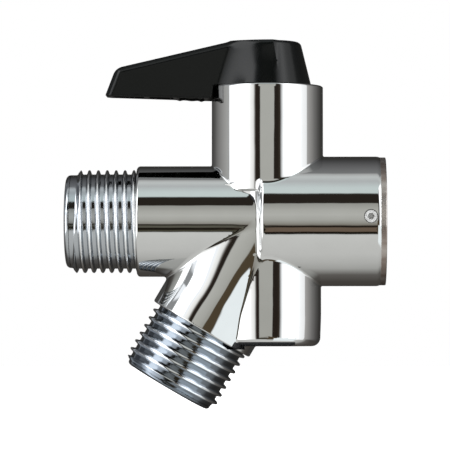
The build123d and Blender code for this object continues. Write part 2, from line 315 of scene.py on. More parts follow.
def clip(v, t, g_fn, snap_fn, near=0.06):
    """Keeps the part where g < 0. snap_fn puts points on g = 0."""
    g = g_fn(v)
    close = np.abs(g) < near
    used = np.zeros(len(v), bool)
    used[t.ravel()] = True
    close &= used
    v = v.copy()
    v[close] = snap_fn(v[close])
    g = g_fn(v)
    g[close] = 0.0
    out_v = g > 1e-6
    k = out_v[t].sum(1)
    zero = (g[t] == 0).sum(1)
    keep = [t[(k == 0) & (zero < 3)]]
    cut = {}
    newv = []

    cross = t[(k > 0) & ((g[t] < -1e-6).sum(1) > 0)]

    def point(i, j):
        key = (min(i, j), max(i, j))
        if key not in cut:
            f = g[i] / (g[i] - g[j])
            cut[key] = len(v) + len(newv)
            newv.append(v[i] + (v[j] - v[i]) * f)
        return cut[key]

    extra = []
    for tri in cross:
        poly = []
        for a in range(3):
            i, j = int(tri[a]), int(tri[(a + 1) % 3])
            if g[i] <= 1e-6:
                poly.append(i)
            if (g[i] < -1e-6 and g[j] > 1e-6) or (g[i] > 1e-6 and g[j] < -1e-6):
                poly.append(point(i, j))
        for a in range(1, len(poly) - 1):
            extra.append((poly[0], poly[a], poly[a + 1]))
    if newv:
        nv = snap_fn(np.array(newv))
        v = np.concatenate([v, nv])
    if extra:
        keep.append(np.array(extra))
    return v, np.concatenate(keep)


def compact(v, t, extra=()):
    used = np.unique(t)
    remap = -np.ones(len(v), int)
    remap[used] = np.arange(len(used))
    return (v[used], remap[t]) + tuple(e[used] for e in extra)


# meshes ---------------------------------------------------------------------
def mesh_object(name, v, faces, normals=None, sharp=None):
    """faces is a list of index arrays, each of triangles or quads."""
    me = bpy.data.meshes.new(name)
    v = np.asarray(v, float)
    loops = []
    starts = []
    totals = []
    at = 0
    for f in faces:
        f = np.asarray(f)
        if len(f) == 0:
            continue
        k = f.shape[1]
        loops.append(f.ravel())
        starts.append(at + k * np.arange(len(f)))
        totals.append(np.full(len(f), k))
        at += f.size
    loops = np.concatenate(loops)
    starts = np.concatenate(starts)
    me.vertices.add(len(v))
    me.vertices.foreach_set("co", place(v).astype(np.float32).ravel())
    me.loops.add(len(loops))
    me.loops.foreach_set("vertex_index", loops.astype(np.int32))
    me.polygons.add(len(starts))
    me.polygons.foreach_set("loop_start", starts.astype(np.int32))
    me.update(calc_edges=True)
    me.validate(clean_customdata=False)
    me.polygons.foreach_set("use_smooth", np.ones(len(me.polygons), bool))
    if normals is not None and len(me.vertices) == len(v):
        me.normals_split_custom_set_from_vertices([tuple(n) for n in unit(normals)])
    me.update()
    ob = bpy.data.objects.new(name, me)
    bpy.context.scene.collection.objects.link(ob)
    return ob


def turn_grid(rings, N, frame_axis, closed=True):
    """rings: list of (u array or scalar, r array or scalar). Returns vertices, quads."""
    o, a, up, side = frame_axis
    psi = 2 * np.pi * np.arange(N) / N
    vs = []
    for u, r in rings:
        u = np.broadcast_to(u, (N,))
        r = np.broadcast_to(r, (N,))
        vs.append(o + u[:, None] * a + (r * np.cos(psi))[:, None] * up + (r * np.sin(psi))[:, None] * side)
    v = np.concatenate(vs)
    q = []
    i = np.arange(N)
    j = (i + 1) % N
    for k in range(len(rings) - 1):
        b = k * N
        q.append(np.stack([b + i, b + N + i, b + N + j, b + j], 1))
    return v, np.concatenate(q)


def face_normals(v, f):
    a = v[f[:, 1]] - v[f[:, 0]]
    b = v[f[:, -1]] - v[f[:, 0]]
    return np.cross(a, b)


def vertex_normals(v, f):
    """Area-weighted normals."""
    n = np.zeros_like(v)
    if f.shape[1] == 4:
        fn = np.cross(v[f[:, 2]] - v[f[:, 0]], v[f[:, 3]] - v[f[:, 1]])
    else:
        fn = np.cross(v[f[:, 1]] - v[f[:, 0]], v[f[:, 2]] - v[f[:, 0]])
    for k in range(f.shape[1]):
        np.add.at(n, f[:, k], fn)
    return n


def arc(c, r, a0, a1, n):
    """Points of an arc in the (u, r) plane; angles in degrees from +u."""
    t = np.radians(np.linspace(a0, a1, n))
    return [(c[0] + r * math.cos(k), c[1] + r * math.sin(k)) for k in t]


def profile_strip(points, N, axis_frame):
    """A turned surface, with each corner between segments kept crisp by doubling
    its ring. points: list of runs, each run is a smooth list of (u, r)."""
    V, Q, NN = [], [], []
    at = 0
    for run in points:
        v, q = turn_grid(run, N, axis_frame)
        n = vertex_normals(v, q)
        V.append(v)
        Q.append(q + at)
        NN.append(n)
        at += len(v)
    return np.concatenate(V), np.concatenate(Q), np.concatenate(NN)


ROOT = 9.60      # root radius that shows: the plating fills the thread a little
THREAD = [(0.0, 0.0), (0.04, 0.008), (0.08, 0.04), (0.12, 0.13), (0.155, 0.28), (0.215, 0.66), (0.25, 0.85),
          (0.28, 0.95), (0.315, 0.99), (0.42, 1.0), (0.5, 0.99)]


def thread_rows():
    """(phase, depth fraction) over one pitch, crest at phase 0."""
    a = THREAD
    b = [(1 - p, d) for p, d in reversed(THREAD[1:-1])]
    return a + b


def male_thread(axis_frame, crest_u, u0, u1, major, minor, nose_r, lead, taper=0.0, N=168):
    """Right-hand helical thread from u0 to u1; crest_u is a crest's place at psi 0.
    lead(psi) is where the lead-in chamfer reaches the nose."""
    o, a, up, side = axis_frame
    rows = thread_rows()
    m = len(rows)
    k0 = int(math.floor((u0 - crest_u) / PITCH)) - 1
    k1 = int(math.ceil((u1 - crest_u) / PITCH)) + 2
    psi = 2 * np.pi * np.arange(N) / N
    U, D = [], []
    for k in range(k0, k1):
        for p, d in rows:
            U.append(crest_u + (k + p) * PITCH)
            D.append(d)
    U = np.array(U)
    D = np.array(D)
    J = len(U)
    u = U[:, None] - PITCH * psi[None, :] / (2 * np.pi)
    top = major - taper * (u - u0)
    r = top - D[:, None] * (major - minor)
    end = np.broadcast_to(lead(psi)[None, :], u.shape)
    cone = nose_r + np.maximum(end - u, 0.0) * 1.15
    r = np.minimum(r, cone)
    w = smooth(u, end - 0.35, end + 0.05)
    r = r * (1 - w) + nose_r * w
    uc = np.clip(u, u0, u1)
    vert = (o + uc[..., None] * a + (r * np.cos(psi))[..., None] * up + (r * np.sin(psi))[..., None] * side)
    vert = vert.reshape(-1, 3)
    jj, ii = np.meshgrid(np.arange(J - 1), np.arange(N), indexing="ij")
    jj = jj.ravel()
    ii = ii.ravel()
    last = ii == N - 1
    ok = ~(last & (jj - m < 0))
    jj, ii, last = jj[ok], ii[ok], last[ok]
    a0 = jj * N + ii
    a1 = (jj + 1) * N + ii
    b0 = np.where(last, (jj - m) * N, jj * N + ii + 1)
    b1 = np.where(last, (jj + 1 - m) * N, (jj + 1) * N + ii + 1)
    q = np.stack([a0, a1, b1, b0], 1)
    # leave out what the ends squeeze flat
    uu = u.reshape(-1)
    lo = (uu[q] <= u0).all(1)
    hi = (uu[q] >= u1).all(1)
    q = q[~(lo | hi)]
    return vert, q


ARM = (np.zeros(3), np.array([-1.0, 0, 0]), np.array([0, 0, 1.0]), np.array([0, -1.0, 0]))
BRA = (BO, BD, -BM, np.array([0, -1.0, 0]))
SLV = (np.zeros(3), np.array([1.0, 0, 0]), np.array([0, 0, 1.0]), np.array([0, 1.0, 0]))


def build_casting():
    h = 0.5
    lo = (-28.2, -14.0, -29.6)
    hi = (25.4, 14.0, 28.6)
    v, q = nets(casting, lo, hi, h)
    v = settle(casting, v, 4)
    t = face_out(casting, v, to_tris(v, q))
    v = relax(casting, v, t, 3)
    for limit, short in ((0.17, 0.42), (0.15, 0.24), (0.15, 0.13)):
        def flag(vv, ue, limit=limit, short=short):
            n = unit(gradient(casting, vv))
            d = np.arccos(np.clip((n[ue[:, 0]] * n[ue[:, 1]]).sum(1), -1, 1))
            l = np.linalg.norm(vv[ue[:, 0]] - vv[ue[:, 1]], axis=1)
            return (d > limit) & (l > short)
        v, t = split(v, t, flag, casting)
    v = relax(casting, v, t, 1, 0.3)
    v = settle(casting, v, 3)

    def arm_g(p):
        return np.where(np.hypot(p[:, 1], p[:, 2]) < 10.4, -26.68 - p[:, 0], -1.0)

    def arm_s(p):
        p = p.copy()
        p[:, 0] = -26.68
        return p

    def bra_g(p):
        u = (p - BO) @ BD
        r = np.hypot((p - BO) @ BM, p[:, 1])
        return np.where(r < 10.4, u - 25.58, -1.0)

    def bra_s(p):
        u = (p - BO) @ BD
        return p + (25.58 - u)[:, None] * BD

    def slv_g(p):
        return np.where(p[:, 0] > 22.6, 10.2155 - np.hypot(p[:, 1], p[:, 2]), -1.0)

    def slv_s(p):
        p = p.copy()
        r = np.hypot(p[:, 1], p[:, 2])
        p[:, 1] *= 10.2155 / r
        p[:, 2] *= 10.2155 / r
        return p

    def top_g(p):
        return np.where(p[:, 2] > 26.0, 9.9 - np.hypot(p[:, 0], p[:, 1]), -1.0)

    def top_s(p):
        p = p.copy()
        r = np.hypot(p[:, 0], p[:, 1])
        p[:, 0] *= 9.9 / r
        p[:, 1] *= 9.9 / r
        return p

    def hole_g(p):
        return np.where(p[:, 1] < -10.0, HOLE[2] - np.hypot(p[:, 0] - HOLE[0], p[:, 2] - HOLE[1]), -1.0)

    def hole_s(p):
        p = p.copy()
        dx = p[:, 0] - HOLE[0]
        dz = p[:, 2] - HOLE[1]
        r = np.hypot(dx, dz)
        p[:, 0] = HOLE[0] + dx * HOLE[2] / r
        p[:, 2] = HOLE[1] + dz * HOLE[2] / r
        return settle(casting, p, 1)

    for g, s in ((arm_g, arm_s), (bra_g, bra_s), (slv_g, slv_s), (top_g, top_s), (hole_g, hole_s)):
        v, t = clip(v, t, g, s)
    n = gradient(casting, v)
    c = v[t].mean(1)
    rim = (c[:, 0] > 22.86) & (np.hypot(c[:, 1], c[:, 2]) > 10.3)
    rv, rt, rn = compact(v, t[rim], (n,))
    v, t, n = compact(v, t[~rim], (n,))
    print("casting", len(v), len(t), len(rt))
    return mesh_object("valve_body_casting", v, [t], n), mesh_object("valve_body_mouth_rim", rv, [rt], rn)


def build_hole():
    """Wall of the set screw's hole, with a small rounded lip where it meets the sleeve."""
    N = 64
    frame_axis = (np.array([HOLE[0], 0.0, HOLE[1]]), np.array([0, -1.0, 0]), np.array([0, 0, 1.0]),
                  np.array([-1.0, 0, 0]))
    psi = 2 * np.pi * np.arange(N) / N
    top = np.sqrt(13.17 ** 2 - (HOLE[1] + HOLE[2] * np.cos(psi)) ** 2)
    run = [(top + 0.0, HOLE[2]), (top - 0.05, HOLE[2] - 0.04), (top - 0.14, HOLE[2] - 0.07),
           (top - 1.6, HOLE[2] - 0.07)]
    v, q, n = profile_strip([run], N, frame_axis)
    q = q[:, ::-1]
    return mesh_object("valve_body_screw_hole", v, [q], -n)


def runs_male(nose_u, nose_r, end_u, rim_r, bore_r, bore_start, port_r, port_end, N):
    nose = [(nose_u, nose_r), (end_u - (nose_r - rim_r) - 0.15, nose_r)]
    edge = [(end_u - (nose_r - rim_r) - 0.15, nose_r)]
    k = nose_r - rim_r
    for t in np.linspace(0, 1, 7)[1:]:
        a = t * math.pi / 2
        edge.append((end_u - k + k * math.sin(a) if t < 1 else end_u, rim_r + k * math.cos(a)))
    face = [(end_u, rim_r), (end_u, bore_r + 0.5)]
    cham = [(end_u, bore_r + 0.5), (end_u - 0.5, bore_r)]
    bore = [(end_u - 0.5, bore_r)] + [(bore_start + 1.2 + (end_u - 0.5 - bore_start - 1.2) * w, bore_r)
                                     for w in np.linspace(1, 0, 9)[1:]]
    cone = [(bore_start + 1.2, bore_r), (bore_start, port_r)]
    port = [(bore_start, port_r), (port_end, port_r)]
    return [nose + edge[1:], face, cham], [bore, cone, port]


def build_outlet(name, axis_frame, crest_u, u0, lead, u1, end_u, rim_r, bore_start, port_r, port_end, taper, soft=0.0):
    """Threaded end with its nose and rim, and the bore behind it."""
    N = 168
    v, q = male_thread(axis_frame, crest_u, u0, u1, MAJOR, ROOT, 9.46, lead, taper, N)
    n = unit(vertex_normals(v, q))
    o, a = axis_frame[0], axis_frame[1]
    out = unit((v - o) - ((v - o) @ a)[:, None] * a)
    n = unit(n * (1 - soft) + out * soft)
    front, back = runs_male(u1, 9.46, end_u, rim_r, 6.75, bore_start, port_r, port_end, N)
    v2, q2, n2 = profile_strip(front, N, axis_frame)
    V = np.concatenate([v, v2])
    Q = np.concatenate([q, q2 + len(v)])
    NN = np.concatenate([n, n2])
    V, Q, NN = compact(V, Q, (NN,))
    print(name, len(V), len(Q) * 2)
    thread = mesh_object(name + "_thread", V, [Q], NN)
    r = np.linalg.norm((V - o) - ((V - o) @ a)[:, None] * a, axis=1)
    if len(thread.data.vertices) == len(V):
        # The crest attribute marks where the thread's base colour is painted lighter, as a highlight.
        crest = thread.data.attributes.new("crest", "FLOAT", "POINT")
        crest.data.foreach_set("value", smooth(r, MAJOR - (0.32 if soft == 0 else 0.15), MAJOR - 0.05).astype(np.float32))
    v3, q3, n3 = profile_strip(back, N, axis_frame)
    bore = mesh_object(name + "_bore", v3, [q3], n3)
    return thread, bore


def build_socket():
    """Inlet: chamfer, female thread, relief, washer seat and port."""
    N = 168
    rows = thread_rows()
    m = len(rows)
    o, a, up, side = SLV
    psi = 2 * np.pi * np.arange(N) / N
    u0, u1 = 13.8, 23.55
    U, D = [], []
    for k in range(-1, 8):
        for p, d in rows:
            U.append(u0 + (k + p) * PITCH)
            D.append(d)
    U = np.array(U)
    D = np.array(D)
    J = len(U)
    u = U[:, None] + PITCH * psi[None, :] / (2 * np.pi)
    r = MINOR + D[:, None] * 1.05
    w = smooth(u, u1 - 0.9, u1)
    r = r * (1 - w) + 10.0 * w
    w = 1 - smooth(u, u0, u0 + 0.5)
    r = r * (1 - w) + 10.6 * w
    uc = np.clip(u, u0, u1)
    v = (o + uc[..., None] * a + (r * np.cos(psi))[..., None] * up + (r * np.sin(psi))[..., None] * side).reshape(-1, 3)
    jj, ii = np.meshgrid(np.arange(J - 1), np.arange(N), indexing="ij")
    jj = jj.ravel()
    ii = ii.ravel()
    last = ii == N - 1
    ok = ~(last & (jj + 1 + m > J - 1))
    jj, ii, last = jj[ok], ii[ok], last[ok]
    a0 = jj * N + ii
    a1 = (jj + 1) * N + ii
    b0 = np.where(last, (jj + m) * N, jj * N + ii + 1)
    b1 = np.where(last, (jj + 1 + m) * N, (jj + 1) * N + ii + 1)
    q = np.stack([a0, b0, b1, a1], 1)
    uu = u.reshape(-1)
    q = q[~((uu[q] <= u0).all(1) | (uu[q] >= u1).all(1))]
    n = vertex_normals(v, q)
    y = 5.5 * np.sin(psi)
    port_in = np.sqrt(8.25 ** 2 - y ** 2)
    runs = [[(24.0, 10.2155), (u1, 10.0)],
            [(u0, 10.6), (11.0, 10.6)],
            [(11.0, 10.6), (11.0, 5.5)],
            [(11.0, 5.5), (port_in, 5.5)]]
    v2, q2, n2 = profile_strip(runs, N, SLV)
    V = np.concatenate([v, v2])
    Q = np.concatenate([q, q2 + len(v)])
    NN = np.concatenate([n, n2])
    V, Q, NN = compact(V, Q, (NN,))
    # the socket's faces look inwards
    print("socket", len(V), len(Q) * 2)
    return mesh_object("valve_body_inlet_socket", V, [Q], NN)


def build_chamber():
    """The chamber's own faces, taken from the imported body."""
    src = frame["nodes"]["valve_body"]
    me = src.data
    me.calc_loop_triangles()
    co = np.empty(len(me.vertices) * 3, np.float32)
    me.vertices.foreach_get("co", co)
    mw = np.array(src.matrix_world)
    co = co.reshape(-1, 3) @ mw[:3, :3].T + mw[:3, 3]
    v = co * 1000.0
    v[:, 0] += REACH
    t = np.empty(len(me.loop_triangles) * 3, np.int32)
    me.loop_triangles.foreach_get("vertices", t)
    t = t.reshape(-1, 3)
    r = np.hypot(v[:, 0], v[:, 1])
    ok = (r < 9.95) & (v[:, 2] > -23.6) & (v[:, 2] < 27.52)
    t = t[ok[t].all(1)]
    n = vertex_normals(v, t)
    # a face on the chamber wall looks towards the axis
    V, T, NN = compact(v, t, (n,))
    print("chamber", len(V), len(T))
    return mesh_object("valve_body_chamber", V, [T], None)


# lever ----------------------------------------------------------------------
def lever_shape(p):
    x, y, z = p[:, 0], p[:, 1], p[:, 2]
    rr = np.hypot(x, y)
    slope = (8.94 - 6.74) / (36.55 - 27.65)
    cone = (rr - (8.94 - slope * (z - 27.65))) / math.sqrt(1 + slope ** 2)
    crown = z - (36.55 - 0.0012 * rr * rr)
    hub = meet(cone, crown, 0.75)
    hub = np.maximum(hub, 27.65 - z)
    # handle: planes of its side view
    ct, st = math.cos(math.radians(12.66)), math.sin(math.radians(12.66))
    top = (z - 36.31) * ct - (x + 7.92) * st
    ctp, stp = math.cos(math.radians(21.0)), math.sin(math.radians(21.0))
    tip = -(x + 31.03) * ctp + (z - 30.62) * stp
    cb, sb = math.cos(math.radians(1.70)), math.sin(math.radians(1.70))
    bottom = -(z - 25.47) * cb - (x + 32.3) * sb
    # moulding flash along the lower edge
    bottom = bottom - 0.17 * np.exp(-((x + 18.0) / 0.45) ** 2) - 0.12 * np.exp(-((x + 15.6) / 0.9) ** 2) \
        - 0.2 * np.exp(-((x + 13.6) / 0.4) ** 2)
    half = 4.75 + (x + 11.0) * (4.75 - 3.35) / (31.4 - 11.0)
    side = (np.abs(y) - half) * math.cos(math.atan((4.75 - 3.35) / 20.4))
    s2 = math.sqrt(0.5)
    bevel_top = (top + side + 0.95) * s2
    bevel_tip = (tip + side + 0.9) * s2
    blade = meet(top, tip, 1.1)
    blade = meet(blade, bottom, 0.35)
    blade = meet(blade, side, 0.25)
    blade = meet(blade, bevel_top, 0.3)
    blade = meet(blade, bevel_tip, 0.3)
    blade = np.maximum(blade, x - 0.0)
    body = join(hub, blade, 2.4)
    body = np.maximum(body, z - 36.55)
    body = np.maximum(body, 24.0 - z)
    # room for the barrel and its rim
    clear = np.maximum(rr - 11.75 - 0.16 * (27.62 - z), z - 27.62)
    body = meet(body, -clear, 0.12)
    # hollow underside with two ribs
    cavity = np.maximum(np.abs(y) - (half - 1.45), top + 1.5)
    cavity = np.maximum(cavity, tip + 1.5)
    cavity = np.maximum(cavity, x + 12.9)
    rib = np.minimum(np.abs(x + 18.6), np.abs(x + 24.6)) - 0.6
    cavity = np.maximum(cavity, -rib)
    body = meet(body, -cavity, 0.15)
    # recess for the cap
    body = meet(body, -np.maximum(rr - 4.55, 33.2 - z), 0.1)
    return body


def build_lever():
    h = 0.42
    v, q = nets(lever_shape, (-34.0, -10.2, 24.0), (10.2, 10.2, 37.6), h)
    v = settle(lever_shape, v, 4)
    t = face_out(lever_shape, v, to_tris(v, q))
    v = relax(lever_shape, v, t, 2)
    for limit, short in ((0.2, 0.35), (0.2, 0.2), (0.25, 0.12)):
        def flag(vv, ue, limit=limit, short=short):
            n = unit(gradient(lever_shape, vv))
            d = np.arccos(np.clip((n[ue[:, 0]] * n[ue[:, 1]]).sum(1), -1, 1))
            l = np.linalg.norm(vv[ue[:, 0]] - vv[ue[:, 1]], axis=1)
            return (d > limit) & (l > short)
        v, t = split(v, t, flag, lever_shape)
    v = settle(lever_shape, v, 3)
    n = gradient(lever_shape, v)
    print("lever", len(v), len(t))
    return mesh_object("lever_moulding", v, [t], n)


# materials ------------------------------------------------------------------
def new_material(name):
    m = bpy.data.materials.new(name)
    m.use_nodes = True
    nt = m.node_tree
    b = nt.nodes["Principled BSDF"]
    return m, nt, b


def noise(nt, scale, detail=2.0, rough=0.5, vec=None, stretch=None):
    tc = nt.nodes.new("ShaderNodeTexCoord")
    n = nt.nodes.new("ShaderNodeTexNoise")
    n.inputs["Scale"].default_value = scale
    n.inputs["Detail"].default_value = detail
    n.inputs["Roughness"].default_value = rough
    src = tc.outputs["Object"]
    if stretch is not None:
        mp = nt.nodes.new("ShaderNodeMapping")
        mp.inputs["Scale"].default_value = stretch
        nt.links.new(src, mp.inputs["Vector"])
        src = mp.outputs["Vector"]
    nt.links.new(src, n.inputs["Vector"])
    return n


def ramp(nt, src, a, b, lo=0.0, hi=1.0):
    r = nt.nodes.new("ShaderNodeMapRange")
    r.inputs["From Min"].default_value = lo
    r.inputs["From Max"].default_value = hi
    r.inputs["To Min"].default_value = a
    r.inputs["To Max"].default_value = b
    nt.links.new(src, r.inputs["Value"])
    return r.outputs["Result"]


def bump(nt, b, src, strength, distance):
    k = nt.nodes.new("ShaderNodeBump")
    k.inputs["Strength"].default_value = strength
    k.inputs["Distance"].default_value = distance
    nt.links.new(src, k.inputs["Height"])
    nt.links.new(k.outputs["Normal"], b.inputs["Normal"])
    return k


def mix_color(nt, src, c0, c1):
    m = nt.nodes.new("ShaderNodeMix")
    m.data_type = "RGBA"
    m.inputs[6].default_value = (*c0, 1)
    m.inputs[7].default_value = (*c1, 1)
    nt.links.new(src, m.inputs[0])
    return m.outputs[2]


def chrome_material():
    m, nt, b = new_material("chrome_polished")
    b.inputs["Metallic"].default_value = 1.0
    n = noise(nt, 260.0, 3.0)
    nt.links.new(ramp(nt, n.outputs["Fac"], 0.02, 0.05), b.inputs["Roughness"])
    nt.links.new(mix_color(nt, n.outputs["Fac"], (0.60, 0.605, 0.60), (0.64, 0.645, 0.64)), b.inputs["Base Color"])
    w = noise(nt, 120.0, 1.5)
    bump(nt, b, w.outputs["Fac"], 0.07, 0.0006)
    return m


def thread_material(name, root, crest):
    m, nt, b = new_material(name)
    b.inputs["Metallic"].default_value = 1.0
    n = noise(nt, 900.0, 3.0)
    nt.links.new(ramp(nt, n.outputs["Fac"], 0.05, 0.16, 0.3, 0.75), b.inputs["Roughness"])
    # Base colour by the crest attribute: painted shade at the thread's root (darker), painted highlight along the crest
    # (lighter).
    painted_crest_highlight = nt.nodes.new("ShaderNodeAttribute")
    painted_crest_highlight.attribute_name = "crest"
    mx = nt.nodes.new("ShaderNodeMix")
    mx.data_type = "RGBA"
    nt.links.new(painted_crest_highlight.outputs["Fac"], mx.inputs[0])
    mx.inputs[6].default_value = tuple(root) + (1.0,)
    mx.inputs[7].default_value = tuple(crest) + (1.0,)
    nt.links.new(mx.outputs[2], b.inputs["Base Color"])
    w = noise(nt, 2200.0, 2.0)
    bump(nt, b, w.outputs["Fac"], 0.10, 0.00006)
    return m


def worn_and_painted_reflection_material():
    """Thin plating at the mouth's edge, warm and dull; its darker patches are painted reflections of the room's dark
    streaks.
    """
    m, nt, b = new_material("chrome_worn_edge_painted_reflection")
    b.inputs["Metallic"].default_value = 1.0
    n = noise(nt, 260.0, 2.0, 0.5, None, (0.3, 1.0, 1.0))
    nt.links.new(mix_color(nt, ramp(nt, n.outputs["Fac"], 0.0, 1.0, 0.40, 0.58), (0.30, 0.245, 0.215), (0.52, 0.48, 0.45)),
                 b.inputs["Base Color"])
    g = noise(nt, 1200.0, 3.0)
    nt.links.new(ramp(nt, g.outputs["Fac"], 0.28, 0.45), b.inputs["Roughness"])
    bump(nt, b, g.outputs["Fac"], 0.12, 0.00005)
    return m


def plastic_material():
    m, nt, b = new_material("black_plastic")
    n = noise(nt, 420.0, 3.0)
    nt.links.new(mix_color(nt, n.outputs["Fac"], (0.0026, 0.0034, 0.0032), (0.0044, 0.0052, 0.0050)), b.inputs["Base Color"])
    nt.links.new(ramp(nt, n.outputs["Fac"], 0.14, 0.22), b.inputs["Roughness"])
    b.inputs["Specular IOR Level"].default_value = 0.24
    w = noise(nt, 5200.0, 2.0)
    bump(nt, b, w.outputs["Fac"], 0.05, 0.00005)
    return m


def metal_material(name, c0, c1, r0, r1, scale=600.0, stretch=None, depth=0.1, reach=0.00005):
    m, nt, b = new_material(name)
    b.inputs["Metallic"].default_value = 1.0
    n = noise(nt, scale, 3.0, stretch=stretch)
    nt.links.new(mix_color(nt, n.outputs["Fac"], c0, c1), b.inputs["Base Color"])
    nt.links.new(ramp(nt, n.outputs["Fac"], r0, r1), b.inputs["Roughness"])
    bump(nt, b, n.outputs["Fac"], depth, reach)
    return m


def rubber_material(name, c0, c1, r0=0.55, r1=0.75):
    m, nt, b = new_material(name)
    n = noise(nt, 1500.0, 3.0)
    nt.links.new(mix_color(nt, n.outputs["Fac"], c0, c1), b.inputs["Base Color"])
    nt.links.new(ramp(nt, n.outputs["Fac"], r0, r1), b.inputs["Roughness"])
    bump(nt, b, n.outputs["Fac"], 0.15, 0.00005)
    return m


def assign(ob, m):
    ob.data.materials.clear()
    ob.data.materials.append(m)


# world: a plain studio seen only in reflections --------------------------------
class Nodes:
    def __init__(self, nt):
        self.nt = nt

    def v(self, x):
        return x

    def put(self, node, i, x):
        if isinstance(x, (int, float)):
            node.inputs[i].default_value = float(x)
        else:
            self.nt.links.new(x, node.inputs[i])

    def m(self, op, a, b=0.0, c=0.0, clamp=False):
        n = self.nt.nodes.new("ShaderNodeMath")
        n.operation = op
        n.use_clamp = clamp
        self.put(n, 0, a)
        self.put(n, 1, b)
        self.put(n, 2, c)
        return n.outputs[0]

    def step(self, x, a, b):
        """0 below a, 1 above b, smooth between (a > b turns it round)."""
        n = self.nt.nodes.new("ShaderNodeMapRange")
        n.interpolation_type = "SMOOTHSTEP"
        if a < b:
            n.inputs["From Min"].default_value = a
            n.inputs["From Max"].default_value = b
            n.inputs["To Min"].default_value = 0.0
            n.inputs["To Max"].default_value = 1.0
        else:
            n.inputs["From Min"].default_value = b
            n.inputs["From Max"].default_value = a
            n.inputs["To Min"].default_value = 1.0
            n.inputs["To Max"].default_value = 0.0
        self.nt.links.new(x, n.inputs["Value"])
        return n.outputs["Result"]

    def mul(self, *xs):
        r = xs[0]
        for x in xs[1:]:
            r = self.m("MULTIPLY", r, x)
        return r

    def mixc(self, f, a, b):
        n = self.nt.nodes.new("ShaderNodeMix")
        n.data_type = "RGBA"
        if isinstance(f, (int, float)):
            n.inputs[0].default_value = f
        else:
            self.nt.links.new(f, n.inputs[0])
        for i, x in ((6, a), (7, b)):
            if isinstance(x, tuple):
                n.inputs[i].default_value = (*x, 1.0)
            else:
                self.nt.links.new(x, n.inputs[i])
        return n.outputs[2]


def scale_ramp(N, src, stops):
    """Colour by angle. stops: (degrees, level) or (degrees, (r, g, b)), a few listed ones."""
    nt = N.nt
    r = nt.nodes.new("ShaderNodeValToRGB")
    e = r.color_ramp.elements
    for k, (pos, c) in enumerate(stops):
        if k < 2:
            it = e[k]
            it.position = (pos + 180.0) / 360.0
        else:
            it = e.new((pos + 180.0) / 360.0)
        if isinstance(c, (int, float)):
            c = (c, c, c)
        it.color = (c[0], c[1], c[2], 1.0)
    nt.links.new(N.m("DIVIDE", N.m("ADD", src, 180.0), 360.0), r.inputs["Fac"])
    return r.outputs["Color"]


